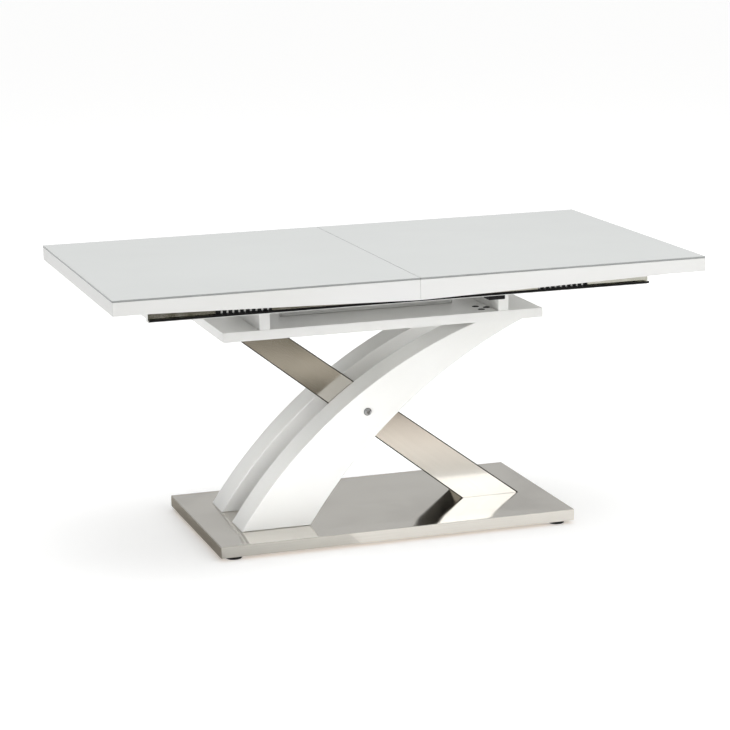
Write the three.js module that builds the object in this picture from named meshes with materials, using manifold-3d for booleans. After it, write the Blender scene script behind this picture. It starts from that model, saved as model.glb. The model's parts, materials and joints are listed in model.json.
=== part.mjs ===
// Extendable dining table: two glass-topped halves slide apart over a fixed frame that
// carries the extension leaf, on a crossed pedestal of two arches and a steel leg.
// Millimetres, +Z up, X along the length, Y to the back, origin on the floor at the middle.
import * as THREE from "three";
import { ConvexGeometry } from "three/addons/geometries/ConvexGeometry.js";
import { mergeVertices } from "three/addons/utils/BufferGeometryUtils.js";
import Module from "manifold-3d";

// ---- overall ----
const length = 1600; // closed
const width = 900;
const height = 750;
const travel = 300; // each half; the leaf is twice this long
const fit = 0.3; // gap between pieces that touch
const seam = 0.6; // gap between the two halves

// ---- tops ----
const glass = 5;
const glassChamfer = 0.8;
const board = 16;
const skirt = 18; // thickness of the skirt boards
const skirtChamfer = 1;
const skirtEndDepth = 40; // from the top of the glass
const skirtSeamDepth = 58;
const skirtLevel = 100; // level part of the lower edge at each end, past which it tapers
const dowelRadius = 4;
const dowelReach = 15;
const dowelSpread = 0.68; // share of the width between the dowels

// ---- telescopic slides ----
const slideDrop = 82; // top of the glass to the underside of the channel
const slideHeight = 45;
const slideDepth = 12;
const slideSpare = 21; // channel left past the runner when fully open
const steel = 1.5;
const lip = 6; // return edge of the channel
const race = 5.5; // ball space between channel and runner
const runnerWidth = 3.9; // flange of the runner
const runnerProud = 0.4;
const runnerStart = 2; // from the seam
const runnerLength = 363;
const cageLength = 290;
const cageExposed = 145; // part of the cage past the runner when closed
const cageClearance = 0.4;
const cageWeb = 2.5;
const ribDepth = 2.2;
const ribWidth = 4;
const ribPitch = 14.5;
const batten = 22;
const battenHeight = 38.4;

// ---- fixed frame ----
const rail = 22;
const railBelow = 4; // below the channel
const railAbove = 3;
const endBoardRaise = 7; // its underside above the rail's
const crossBoard = 29;
const crossBoardX = 336;
const restHalf = 246;
const rest = 24;
const leafSide = 10.7; // stored leaf to the rails
const leafGap = 7.4; // leaf glass to the boards of the closed top
const lockX = 232;
const lockSize = [46, 40, 8.7];
const lockInset = 2.3; // behind the face of the rail

// ---- pedestal ----
const plateLength = 900;
const plateOverhang = 13; // past the arches, front and rear
const plate = 26;
const plateDrop = 162; // top of the glass to the top of the plate
const baseLength = 1000;
const baseWidth = 550;
const baseHeight = 30;
const sheet = 1.2; // stainless sheet
const footRadius = 22;
const footHeight = 10;
const footChamfer = 1.5;
const footInset = [42, 30]; // from the ends and from the long edges
const layer = 100; // depth of the steel leg in Y
const layerGap = 2;
const archDepth = 105;
const archFoot = [-411, -219];
const archHead = [266, 402];
const archRise = [71.7, 58.8]; // bulge of the outer and inner edge
const archSteps = 28;
const legFoot = [256, 422];
const legHead = [-401, -271];

// ---- fasteners ----
const crossingX = -52;
const crossingShare = 0.573; // of the way from base to plate
const crossingRadius = 6;
const capRadius = 9.8;
const capHeight = 6;
const socketRadius = 4.4;
const socketDepth = 3;
const boltRadius = 4;
const boltHead = [6.5, 8];
const boltReach = 34; // into the leg below
const recess = [8.5, 9];
const archBolts = [[288, -22.5], [288, 22.5], [311, 0]];
const legBolts = [[-300, -25], [-300, 25]];
const around = 32;

// ---- derived levels ----
const halfLength = length / 2;
const halfWidth = width / 2;
const seamHalf = seam / 2;
const glassBottom = height - glass;
const boardTop = glassBottom - fit;
const boardBottom = boardTop - board;
const channelBottom = height - slideDrop;
const channelTop = channelBottom + slideHeight;
const railInner = travel + leafSide; // from the centre line, as are the next three
const railOuter = railInner + rail;
const channelBack = railOuter + fit;
const mouth = channelBack + slideDepth;
const railBottom = channelBottom - railBelow;
const railTop = channelTop + railAbove;
const slideHalf = runnerStart + runnerLength + travel + slideSpare;
const baseTop = footHeight + baseHeight;
const legBottom = baseTop + fit;
const plateTop = height - plateDrop;
const plateBottom = plateTop - plate;
const legTop = plateBottom - fit;
const leafTop = boardBottom - leafGap;
const leafBoardTop = leafTop - glass - fit;
const leafBottom = leafBoardTop - board;
const restTop = leafBottom - fit;
const archInner = layer / 2 + layerGap;
const archOuter = archInner + archDepth;
const crossing = [crossingX, legBottom + (legTop - legBottom) * crossingShare];

const wasm = await Module();
wasm.setup();

// ---- helpers ----
function toSolid(geometry) {
  const bare = new THREE.BufferGeometry();
  bare.setAttribute("position", geometry.getAttribute("position"));
  if (geometry.index) bare.setIndex(geometry.index);
  const merged = mergeVertices(bare, 1e-4);
  return new wasm.Manifold(new wasm.Mesh({
    numProp: 3,
    vertProperties: new Float32Array(merged.getAttribute("position").array),
    triVerts: new Uint32Array(merged.index.array),
  }));
}

function toGeometry(solid) {
  const mesh = solid.getMesh();
  const geometry = new THREE.BufferGeometry();
  geometry.setAttribute("position", new THREE.BufferAttribute(mesh.vertProperties, 3));
  geometry.setIndex(new THREE.BufferAttribute(mesh.triVerts, 1));
  const flat = geometry.toNonIndexed();
  flat.computeVertexNormals();
  return flat;
}

// body with every tool cut away
function carve(body, tools) {
  return toGeometry(tools.reduce((left, tool) => left.subtract(toSolid(tool)), toSolid(body)));
}

function fuse(bodies) {
  return toGeometry(bodies.slice(1).reduce((sum, body) => sum.add(toSolid(body)), toSolid(bodies[0])));
}

// box between two values on each axis, given in either order
function box(x, y, z) {
  const size = [x, y, z].map(([a, b]) => Math.abs(b - a));
  const middle = [x, y, z].map(([a, b]) => (a + b) / 2);
  return new THREE.BoxGeometry(...size).translate(...middle);
}

function hull(points) {
  return new ConvexGeometry(points.map((point) => new THREE.Vector3(...point)));
}

// closed outline of [x, z] points carried along Y
function prismY(outline, [y0, y1]) {
  const shape = new THREE.Shape(outline.map(([x, z]) => new THREE.Vector2(x, z)));
  const geometry = new THREE.ExtrudeGeometry(shape, { depth: Math.abs(y1 - y0), bevelEnabled: false });
  return geometry.rotateX(Math.PI / 2).translate(0, Math.max(y0, y1), 0);
}

// closed outline of [y, z] points carried along X
function prismX(outline, [x0, x1]) {
  const shape = new THREE.Shape(outline.map(([y, z]) => new THREE.Vector2(y, z)));
  const geometry = new THREE.ExtrudeGeometry(shape, { depth: Math.abs(x1 - x0), bevelEnabled: false });
  const turn = new THREE.Matrix4().makeBasis(
    new THREE.Vector3(0, 1, 0), new THREE.Vector3(0, 0, 1), new THREE.Vector3(1, 0, 0));
  return geometry.applyMatrix4(turn).translate(Math.min(x0, x1), 0, 0);
}

function rodZ(radius, x, y, [z0, z1], sides = around) {
  const rod = new THREE.CylinderGeometry(radius, radius, z1 - z0, sides).rotateX(Math.PI / 2);
  return rod.translate(x, y, (z0 + z1) / 2);
}

function rodY(radius, x, z, [y0, y1], sides = around) {
  const rod = new THREE.CylinderGeometry(radius, radius, Math.abs(y1 - y0), sides);
  return rod.translate(x, (y0 + y1) / 2, z);
}

function rodX(radius, y, z, [x0, x1]) {
  const rod = new THREE.CylinderGeometry(radius, radius, Math.abs(x1 - x0), around);
  return rod.rotateZ(Math.PI / 2).translate((x0 + x1) / 2, y, z);
}

// points on the circular arc from start to end that bulges to the left of the way
function arc(start, end, rise, steps) {
  const [dx, dz] = [end[0] - start[0], end[1] - start[1]];
  const chord = Math.hypot(dx, dz);
  const radius = (chord * chord / 4 + rise * rise) / (2 * rise);
  const half = Math.asin(chord / 2 / radius);
  const along = [dx / chord, dz / chord];
  const left = [-along[1], along[0]];
  return Array.from({ length: steps + 1 }, (_, i) => {
    const angle = -half + 2 * half * i / steps;
    const a = chord / 2 + radius * Math.sin(angle);
    const b = rise - radius * (1 - Math.cos(angle));
    return [start[0] + along[0] * a + left[0] * b, start[1] + along[1] * a + left[1] * b];
  });
}

const group = new THREE.Group();
group.name = "extendable_dining_table";
const finishes = {
  glass: { color: 0xe4e7e6, roughness: 0.12, metalness: 0 },
  lacquer: { color: 0xf1f1ef, roughness: 0.4, metalness: 0 },
  board: { color: 0xb9a78b, roughness: 0.8, metalness: 0 },
  stainless: { color: 0xbcb9b3, roughness: 0.25, metalness: 1 },
  slideSteel: { color: 0x8c8c88, roughness: 0.4, metalness: 0.9 },
  blackPlastic: { color: 0x17181a, roughness: 0.5, metalness: 0 },
  chrome: { color: 0xd5d7d9, roughness: 0.12, metalness: 1 },
  boltSteel: { color: 0x2b2c2e, roughness: 0.45, metalness: 0.8 },
  beech: { color: 0xd9bf96, roughness: 0.7, metalness: 0 },
};

function add(name, geometry, finish) {
  const mesh = new THREE.Mesh(geometry, new THREE.MeshStandardMaterial(finishes[finish]));
  mesh.name = name;
  mesh.material.name = finish;
  group.add(mesh);
}

// ---- glass sheet with a ground edge all round ----
function glassSheet([x0, x1], [y0, y1], bottom) {
  const points = [];
  for (const [x, inX] of [[x0, 1], [x1, -1]]) {
    for (const [y, inY] of [[y0, 1], [y1, -1]]) {
      for (const [z, inZ] of [[bottom, 1], [bottom + glass, -1]]) {
        points.push([x, y, z + inZ * glassChamfer]);
        points.push([x + inX * glassChamfer, y + inY * glassChamfer, z]);
      }
    }
  }
  return hull(points);
}

// ---- pedestal ----
const baseHalf = [baseLength / 2, baseWidth / 2];
const coreInset = sheet + fit;
add("base_board", box(
  [coreInset - baseHalf[0], baseHalf[0] - coreInset], [coreInset - baseHalf[1], baseHalf[1] - coreInset],
  [footHeight, baseTop - coreInset]), "board");
add("base_cover", carve(
  box([-baseHalf[0], baseHalf[0]], [-baseHalf[1], baseHalf[1]], [footHeight, baseTop]),
  [box([sheet - baseHalf[0], baseHalf[0] - sheet], [sheet - baseHalf[1], baseHalf[1] - sheet],
    [0, baseTop - sheet])]), "stainless");
for (const [front, y] of [["front", -1], ["rear", 1]]) {
  for (const [side, x] of [["left", -1], ["right", 1]]) {
    const foot = new THREE.LatheGeometry([
      new THREE.Vector2(0, 0), new THREE.Vector2(footRadius - footChamfer, 0),
      new THREE.Vector2(footRadius, footChamfer), new THREE.Vector2(footRadius, footHeight - fit),
      new THREE.Vector2(0, footHeight - fit)], around);
    foot.rotateX(Math.PI / 2).translate(
      x * (baseHalf[0] - footInset[0]), y * (baseHalf[1] - footInset[1]), 0);
    add(`${front}_${side}_foot`, toGeometry(toSolid(foot)), "blackPlastic");
  }
}

const crossingHole = rodY(crossingRadius + fit, ...crossing, [-halfWidth, halfWidth]);
const archOutline = [
  ...arc([archFoot[0], legBottom], [archHead[0], legTop], archRise[0], archSteps),
  ...arc([archFoot[1], legBottom], [archHead[1], legTop], archRise[1], archSteps).reverse(),
];
const boltHole = (x, y) => rodZ(boltRadius + fit, x, y, [legTop - boltReach - fit, height]);
const plateBolts = [];
for (const [front, y] of [["front", -1], ["rear", 1]]) {
  const middle = y * (archInner + archOuter) / 2;
  const places = archBolts.map(([x, dy]) => [x, middle + dy]);
  places.forEach(([x, by], i) => plateBolts.push([`${front}_arch_bolt_${i + 1}`, x, by]));
  add(`${front}_arch`, carve(prismY(archOutline, [y * archInner, y * archOuter]),
    [crossingHole, ...places.map(([x, by]) => boltHole(x, by))]), "lacquer");
}

// leg outline with its two slanted edges moved in by the inset, cut off at two levels
function legOutline(inset, low, high) {
  const at = (foot, head, way, z) => {
    const slope = (head - foot) / (legTop - legBottom);
    return foot + slope * (z - legBottom) + way * inset * Math.hypot(1, slope);
  };
  return [
    [at(legFoot[0], legHead[0], 1, low), low], [at(legFoot[1], legHead[1], -1, low), low],
    [at(legFoot[1], legHead[1], -1, high), high], [at(legFoot[0], legHead[0], 1, high), high],
  ];
}
const legHalf = layer / 2;
const legPlaces = legBolts.map(([x, y], i) => [`cross_leg_bolt_${i + 1}`, x, y]);
plateBolts.push(...legPlaces);
add("cross_leg_core", carve(
  prismY(legOutline(coreInset, legBottom, legTop), [coreInset - legHalf, legHalf - coreInset]),
  [crossingHole, ...legPlaces.map(([, x, y]) => boltHole(x, y))]), "board");
add("cross_leg_cover", carve(
  prismY(legOutline(0, legBottom, legTop), [-legHalf, legHalf]),
  [prismY(legOutline(sheet, 0, plateTop), [sheet - legHalf, legHalf - sheet]), crossingHole]),
"stainless");

// one bolt right through arch, leg and arch, with a domed cap nut behind
function dome(radius, rise, start, way) {
  const steps = around / 4;
  const points = [new THREE.Vector2(0, 0), new THREE.Vector2(radius, 0)];
  for (let i = 1; i <= steps; i += 1) {
    const angle = i / steps * Math.PI / 2;
    points.push(new THREE.Vector2(
      i === steps ? 0 : radius * Math.cos(angle), rise / 2 + rise / 2 * Math.sin(angle)));
  }
  points.splice(2, 0, new THREE.Vector2(radius, rise / 2));
  const cap = new THREE.LatheGeometry(points, around);
  if (way < 0) cap.rotateX(Math.PI);
  return cap.translate(crossing[0], start, crossing[1]);
}
const capFace = archOuter + fit;
const capTip = capFace + capHeight;
add("crossing_bolt", carve(
  fuse([dome(capRadius, capHeight, -capFace, -1),
    rodY(crossingRadius, ...crossing, [-capFace - steel, archOuter + capHeight / 2])]),
  [rodY(socketRadius, ...crossing, [-capTip, socketDepth - capTip], 6)]), "chrome");
add("crossing_nut", carve(dome(capRadius, capHeight, capFace, 1),
  [rodY(crossingRadius + fit, ...crossing, [archOuter, capFace + capHeight / 2])]), "chrome");

const plateHalf = [plateLength / 2, archOuter + plateOverhang];
add("upper_plate", carve(
  box([-plateHalf[0], plateHalf[0]], [-plateHalf[1], plateHalf[1]], [plateBottom, plateTop]),
  plateBolts.flatMap(([, x, y]) => [
    rodZ(boltRadius + fit, x, y, [0, height]), rodZ(recess[0], x, y, [plateTop - recess[1], height]),
  ])), "lacquer");
for (const [name, x, y] of plateBolts) {
  const seat = plateTop - recess[1] + fit;
  add(name, carve(
    fuse([rodZ(boltHead[0], x, y, [seat, seat + boltHead[1]]),
      rodZ(boltRadius, x, y, [legTop - boltReach, seat + steel])]),
    [rodZ(boltRadius, x, y, [seat + boltHead[1] - socketDepth, height], 6)]), "boltSteel");
}

// ---- fixed frame ----
for (const [side, x] of [["left", -1], ["right", 1]]) {
  const reach = railInner - fit;
  const foot = plateHalf[1];
  add(`${side}_cross_board`, prismX([
    [-foot, plateTop + fit], [foot, plateTop + fit], [foot, railBottom], [reach, railBottom],
    [reach, restTop], [-reach, restTop], [-reach, railBottom], [-foot, railBottom],
  ], [x * crossBoardX - crossBoard / 2, x * crossBoardX + crossBoard / 2]), "lacquer");
  add(`${side}_end_board`, box([x * slideHalf, x * (slideHalf - rail)], [-reach, reach],
    [railBottom + endBoardRaise, railTop]), "lacquer");
}
add("leaf_rest", box([-restHalf, restHalf], [-rest / 2, rest / 2], [plateTop + fit, restTop]), "lacquer");
add("lock_block", box([lockX, lockX + lockSize[0]],
  [lockInset - railOuter, lockInset - railOuter + lockSize[1]],
  [railBottom - fit - lockSize[2], railBottom - fit]), "blackPlastic");

// [distance from the table's centre line, height] outlines of the nested slide members
const lowRace = channelBottom + steel;
const highRace = channelTop - steel;
const channelOutline = [
  [channelBack, channelBottom], [mouth, channelBottom], [mouth, channelBottom + lip],
  [mouth - steel, channelBottom + lip], [mouth - steel, lowRace], [channelBack + steel, lowRace],
  [channelBack + steel, highRace], [mouth - steel, highRace], [mouth - steel, channelTop - lip],
  [mouth, channelTop - lip], [mouth, channelTop], [channelBack, channelTop],
];
const runnerFace = mouth + runnerProud;
const runnerBack = runnerFace - steel - runnerWidth;
const runnerLow = lowRace + race;
const runnerHigh = highRace - race;
const runnerOutline = [
  [runnerBack, runnerLow], [runnerFace, runnerLow], [runnerFace, runnerHigh], [runnerBack, runnerHigh],
  [runnerBack, runnerHigh - steel], [runnerFace - steel, runnerHigh - steel],
  [runnerFace - steel, runnerLow + steel], [runnerBack, runnerLow + steel],
];
const cageBack = channelBack + steel + cageClearance;
const cageFace = mouth - steel - cageClearance;
const cageLow = lowRace + cageClearance;
const cageHigh = highRace - cageClearance;
const cageInnerLow = runnerLow - cageClearance;
const cageInnerHigh = runnerHigh + cageClearance;
const cageOutline = [
  [cageBack, cageLow], [cageFace, cageLow], [cageFace, cageInnerLow], [cageBack + cageWeb, cageInnerLow],
  [cageBack + cageWeb, cageInnerHigh], [cageFace, cageInnerHigh], [cageFace, cageHigh],
  [cageBack, cageHigh],
];
const flip = (outline, way) => outline.map(([y, z]) => [way * y, z]);

for (const [front, y] of [["front", -1], ["rear", 1]]) {
  add(`${front}_rail`, box([-slideHalf, slideHalf], [y * railOuter, y * railInner],
    [railBottom, railTop]), "lacquer");
  add(`${front}_channel`, prismX(flip(channelOutline, y), [-slideHalf, slideHalf]), "slideSteel");
  for (const [side, x] of [["left", -1], ["right", 1]]) {
    const end = runnerStart + runnerLength + cageExposed;
    const ribs = [];
    for (let at = end - cageExposed + ribPitch; at < end; at += ribPitch) {
      ribs.push(box([x * (at - ribWidth), x * at],
        [y * (cageBack + steel), y * (cageBack + cageWeb + ribDepth)], [cageLow + steel, cageHigh - steel]));
    }
    add(`${side}_${front}_cage`, fuse([
      prismX(flip(cageOutline, y), [x * (end - cageLength), x * end]), ...ribs]), "blackPlastic");
  }
}

// ---- stored leaf, turned a quarter, resting on the cross boards ----
const leafHalf = travel;
add("leaf_board", box([skirt + fit - halfWidth, halfWidth - skirt - fit], [-leafHalf, leafHalf],
  [leafBottom, leafBoardTop]), "lacquer");
add("leaf_glass", glassSheet([-halfWidth, halfWidth], [-leafHalf, leafHalf], leafTop - glass), "glass");
for (const [side, x] of [["left", -1], ["right", 1]]) {
  add(`leaf_${side}_skirt`, box([x * halfWidth, x * (halfWidth - skirt)], [-leafHalf, leafHalf],
    [leafTop - skirtSeamDepth, leafBoardTop]), "lacquer");
}

// ---- sliding halves ----
const dowelY = halfWidth * dowelSpread;
const dowelZ = (boardTop + boardBottom) / 2;
const mitre = fit * Math.SQRT2;
for (const [side, x] of [["left", -1], ["right", 1]]) {
  const dowelHole = (y) => rodX(dowelRadius + fit, y, dowelZ, [-dowelReach - fit, dowelReach + fit]);
  add(`${side}_glass`, glassSheet([x * seamHalf, x * halfLength].sort((a, b) => a - b),
    [-halfWidth, halfWidth], glassBottom), "glass");
  add(`${side}_board`, carve(
    box([x * seamHalf, x * (halfLength - skirt - fit)], [skirt + fit - halfWidth, halfWidth - skirt - fit],
      [boardBottom, boardTop]),
    [dowelHole(-dowelY), dowelHole(dowelY)]), "lacquer");
  add(`${side}_end_skirt`, hull([-1, 1].flatMap((y) => [
    [x * halfLength, y * halfWidth, height - skirtEndDepth],
    [x * halfLength, y * halfWidth, boardTop - skirtChamfer],
    [x * (halfLength - skirtChamfer), y * (halfWidth - skirtChamfer), boardTop],
    [x * (halfLength - skirt), y * (halfWidth - skirt), height - skirtEndDepth],
    [x * (halfLength - skirt), y * (halfWidth - skirt), boardTop],
  ])), "lacquer");
  for (const [front, y] of [["front", -1], ["rear", 1]]) {
    const section = (at, depth, slant) => [
      [x * at, y * halfWidth, height - depth],
      [x * at, y * halfWidth, boardTop - skirtChamfer],
      [x * (at - slant * skirtChamfer), y * (halfWidth - skirtChamfer), boardTop],
      [x * (at - slant * skirt), y * (halfWidth - skirt), height - depth],
      [x * (at - slant * skirt), y * (halfWidth - skirt), boardTop],
    ];
    const knee = section(halfLength - skirtLevel, skirtEndDepth, 0);
    add(`${side}_${front}_skirt`, fuse([
      hull([...section(seamHalf, skirtSeamDepth, 0), ...knee]),
      hull([...knee, ...section(halfLength - mitre, skirtEndDepth, 1)]),
    ]), "lacquer");
    add(`${side}_${front}_runner`, prismX(flip(runnerOutline, y),
      [x * runnerStart, x * (runnerStart + runnerLength)]), "slideSteel");
    add(`${side}_${front}_batten`, box([x * runnerStart, x * (runnerStart + runnerLength)],
      [y * (runnerFace + fit), y * (runnerFace + fit + batten)],
      [boardBottom - fit - battenHeight, boardBottom - fit]), "lacquer");
  }
}
for (const [front, y] of [["front", -1], ["rear", 1]]) {
  add(`${front}_dowel`, rodX(dowelRadius, y * dowelY, dowelZ, [-dowelReach, dowelReach]), "beech");
}

export default group;
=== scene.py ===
import json
import math

import bmesh
import bpy
from mathutils import Euler, Matrix, Vector

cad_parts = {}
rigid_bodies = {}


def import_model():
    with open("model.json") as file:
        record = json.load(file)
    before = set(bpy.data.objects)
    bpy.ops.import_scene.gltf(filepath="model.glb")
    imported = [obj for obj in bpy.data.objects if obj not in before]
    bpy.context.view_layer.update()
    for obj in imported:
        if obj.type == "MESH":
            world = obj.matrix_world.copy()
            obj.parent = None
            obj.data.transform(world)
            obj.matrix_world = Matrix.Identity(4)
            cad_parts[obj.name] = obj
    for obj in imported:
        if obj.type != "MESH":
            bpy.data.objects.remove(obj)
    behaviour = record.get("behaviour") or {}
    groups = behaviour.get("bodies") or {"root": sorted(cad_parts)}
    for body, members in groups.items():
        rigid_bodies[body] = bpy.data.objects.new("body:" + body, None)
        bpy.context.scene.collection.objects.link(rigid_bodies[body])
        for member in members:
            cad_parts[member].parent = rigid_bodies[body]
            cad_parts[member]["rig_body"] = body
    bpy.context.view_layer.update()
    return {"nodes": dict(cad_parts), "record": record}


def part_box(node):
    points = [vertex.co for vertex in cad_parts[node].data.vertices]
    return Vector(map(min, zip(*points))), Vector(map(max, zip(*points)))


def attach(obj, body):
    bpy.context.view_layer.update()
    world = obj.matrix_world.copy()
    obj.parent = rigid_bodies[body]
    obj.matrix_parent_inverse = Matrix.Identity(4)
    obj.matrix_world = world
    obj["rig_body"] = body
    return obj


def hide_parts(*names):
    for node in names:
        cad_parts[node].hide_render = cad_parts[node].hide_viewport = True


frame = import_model()
scene = bpy.context.scene
mm = 0.001  # everything below is in metres
sides = {"left": -1, "right": 1}
fronts = {"front": -1, "rear": 1}
print("frame loaded")

# ways to start a finish and add nodes to it


def linear(hexColour):
    channels = [int(hexColour[i:i + 2], 16) / 255 for i in (1, 3, 5)]
    return tuple(c / 12.92 if c < 0.04045 else ((c + 0.055) / 1.055) ** 2.4 for c in channels) + (1,)


def addNode(tree, kind, settings=(), links=(), stops=()):
    node = tree.nodes.new(kind)
    for name, value in dict(settings).items():
        if name in node.inputs:
            node.inputs[name].default_value = value
        else:
            setattr(node, name, value)
    for index, (place, colour) in enumerate(stops):
        marks = node.color_ramp.elements
        mark = marks[index] if index < 2 else marks.new(place)
        mark.position = place
        mark.color = linear(colour)
    for name, source in dict(links).items():
        tree.links.new(source, node.inputs[name])
    return node


# patterns are sized in metres: each size gives one mapped copy of the object coordinates
def startFinish(name, values, sizes, turn=(0, 0, 0)):
    finish = bpy.data.materials.new(name)
    finish.use_nodes = True
    tree = finish.node_tree
    for socket, value in values.items():
        tree.nodes["Principled BSDF"].inputs[socket].default_value = value
    place = addNode(tree, "ShaderNodeTexCoord").outputs["Object"]
    spaces = [addNode(tree, "ShaderNodeMapping",
                      {"vector_type": "TEXTURE", "Scale": size, "Rotation": turn},
                      {"Vector": place}).outputs["Vector"] for size in sizes]
    return finish, tree, spaces


def feed(tree, socket, output):
    tree.links.new(output, tree.nodes["Principled BSDF"].inputs[socket])


def noise(tree, space, detail, **more):
    return addNode(tree, "ShaderNodeTexNoise", {"Scale": 1, "Detail": detail, **more},
                   {"Vector": space}).outputs["Fac"]


# pattern x share + base
def blend(tree, pattern, share, base):
    node = addNode(tree, "ShaderNodeMath", {"operation": "MULTIPLY_ADD"})
    tree.links.new(pattern, node.inputs[0])
    node.inputs[1].default_value = share
    tree.links.new(base, node.inputs[2])
    return node.outputs["Value"]


def tint(tree, pattern, colours, span=(0.3, 0.7)):
    ramp = addNode(tree, "ShaderNodeValToRGB", links={"Fac": pattern}, stops=list(zip(span, colours)))
    feed(tree, "Base Color", ramp.outputs["Color"])


def polish(tree, pattern, roughness, span=(0, 1)):
    spread = addNode(tree, "ShaderNodeMapRange",
                     {"From Min": span[0], "From Max": span[1],
                      "To Min": roughness[0], "To Max": roughness[1]}, {"Value": pattern})
    feed(tree, "Roughness", spread.outputs["Result"])


def relief(tree, pattern, strength, height):
    bump = addNode(tree, "ShaderNodeBump", {"Strength": strength, "Distance": height},
                   {"Height": pattern})
    feed(tree, "Normal", bump.outputs["Normal"])


# white polyurethane lacquer sprayed on fibreboard: clean white, soft sheen, faint orange peel
def makeLacquer():
    look = {
        "colours": ("#E5E5E2", "#E9E9E8"), "cloud": 0.35,
        "peel": 0.006,  # real peel is about 2 mm, drawn coarser so that it shows
        "peelHeight": 0.012 * mm, "roughness": (0.27, 0.36),
    }
    finish, tree, (cloud, peel) = startFinish(
        "satinWhiteLacquer", {"IOR": 1.5, "Coat Weight": 0.12, "Coat Roughness": 0.18},
        [(look["cloud"],) * 3, (look["peel"],) * 3])
    drift = noise(tree, cloud, 3)
    tint(tree, drift, look["colours"])
    polish(tree, drift, look["roughness"])
    relief(tree, noise(tree, peel, 2), 0.5, look["peelHeight"])
    return finish


# toughened float glass painted white underneath: cool light grey, deep polish, faint roller wave
def makePaintedGlass():
    look = {
        "colours": ("#D6D9D8", "#DADDDC"), "cloud": 0.5, "wave": (0.9, 0.25, 1),
        "waveHeight": 0.02 * mm, "smear": 0.12, "roughness": (0.05, 0.11), "smearSpan": (0.35, 0.75),
    }
    finish, tree, (cloud, wave, smear) = startFinish(
        "backPaintedGlass", {"IOR": 1.52, "Coat Weight": 0.3, "Coat Roughness": 0.03},
        [(look["cloud"],) * 3, look["wave"], (look["smear"],) * 3])
    tint(tree, noise(tree, cloud, 2), look["colours"])
    polish(tree, noise(tree, smear, 5, Distortion=0.6), look["roughness"], look["smearSpan"])
    relief(tree, noise(tree, wave, 1), 0.3, look["waveHeight"])
    return finish


# the ground edge of the same glass: grey-green, because the eye looks into the sheet there
def makeGlassEdge():
    look = {"colours": ("#8E9190", "#A6A8A7"), "grind": (0.03, 0.03, 0.0015), "roughness": 0.24}
    finish, tree, (grind,) = startFinish(
        "groundGlassEdge", {"IOR": 1.52, "Roughness": look["roughness"]}, [look["grind"]])
    tint(tree, noise(tree, grind, 3), look["colours"])
    return finish


# stainless sheet with a fine directional polish: almost a mirror, drawn out a little along the grain
def makeStainless(name, turn, roughness):
    look = {
        "colours": ("#DAD6CE", "#E1DDD6"), "grain": (0.22, 0.0022, 0.0022), "handling": 0.16,
        "grainShare": 0.45, "grainHeight": 0.004 * mm, "anisotropic": 0.35, "span": (0.45, 0.95),
    }
    finish, tree, (grain, handling) = startFinish(
        name, {"Metallic": 1, "Anisotropic": look["anisotropic"]},
        [look["grain"], (look["handling"],) * 3], turn)
    lines = noise(tree, grain, 4, Roughness=0.6)
    touched = noise(tree, handling, 4, Distortion=0.4)
    tint(tree, lines, look["colours"])
    polish(tree, blend(tree, lines, look["grainShare"], touched), roughness, look["span"])
    relief(tree, lines, 0.4, look["grainHeight"])
    return finish


# cold-rolled slide steel with zinc plating: mid grey, a trace of yellow, drawn lines along the slide
def makeZincSteel():
    look = {
        "colours": ("#B9B8AC", "#CDCCC4"), "span": (0.35, 0.65), "draw": (0.3, 0.0018, 0.0018),
        "bloom": 0.03, "roughness": (0.08, 0.17), "drawHeight": 0.01 * mm,
    }
    finish, tree, (draw, bloom) = startFinish(
        "zincPlatedSlideSteel", {"Metallic": 1}, [look["draw"], (look["bloom"],) * 3])
    spots = noise(tree, bloom, 5)
    tint(tree, spots, look["colours"], look["span"])
    polish(tree, spots, look["roughness"])
    relief(tree, noise(tree, draw, 3), 0.5, look["drawHeight"])
    return finish


# injection-moulded black nylon: matt from the spark-eroded mould, a little greyer where it is rubbed
def makeNylon():
    look = {
        "colours": ("#0C0C0D", "#1B1B1D"), "span": (0.45, 0.75), "wear": 0.02, "roughness": (0.6, 0.42),
        "texture": 0.0025, "textureHeight": 0.03 * mm,  # real texture is under 1 mm
    }
    finish, tree, (texture, wear) = startFinish(
        "mouldedBlackNylon", {"IOR": 1.53, "Specular IOR Level": 0.3},
        [(look["texture"],) * 3, (look["wear"],) * 3])
    rubbed = noise(tree, wear, 5)
    tint(tree, rubbed, look["colours"], look["span"])
    polish(tree, rubbed, look["roughness"])
    relief(tree, noise(tree, texture, 2), 0.4, look["textureHeight"])
    return finish


# a thin even skin, such as bright chrome plate or black oxide: a clear tone, slight smears
def makePlated(name, colours, roughness, smear=0.006, metallic=1, specular=0.5):
    finish, tree, (smears,) = startFinish(
        name, {"Metallic": metallic, "Specular IOR Level": specular}, [(smear,) * 3])
    film = noise(tree, smears, 4)
    tint(tree, film, colours, (0.35, 0.65))
    polish(tree, film, roughness)
    return finish


# raw wood: fibreboard is a fine even felt of fibres, beech has longer grain with short dark flecks
def makeRawWood(name, colours, fibre, roughness, height):
    cloudSize = tuple(12 * f for f in fibre)
    finish, tree, (fibres, cloud) = startFinish(
        name, {"Roughness": roughness, "IOR": 1.45}, [fibre, cloudSize])
    fine = noise(tree, fibres, 6, Roughness=0.65)
    tint(tree, blend(tree, noise(tree, cloud, 2), 0.5, fine), colours, (0.55, 0.95))
    relief(tree, fine, 0.6, height)
    return finish


legLow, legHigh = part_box("cross_leg_cover")
legShape = {"footWidth": 166 * mm, "headWidth": 130 * mm}
legRun = (legLow.x + legShape["headWidth"] / 2) - (legHigh.x - legShape["footWidth"] / 2)
legLean = math.atan2(legHigh.z - legLow.z, legRun)  # of the leg's centre line, in the XZ plane

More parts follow.
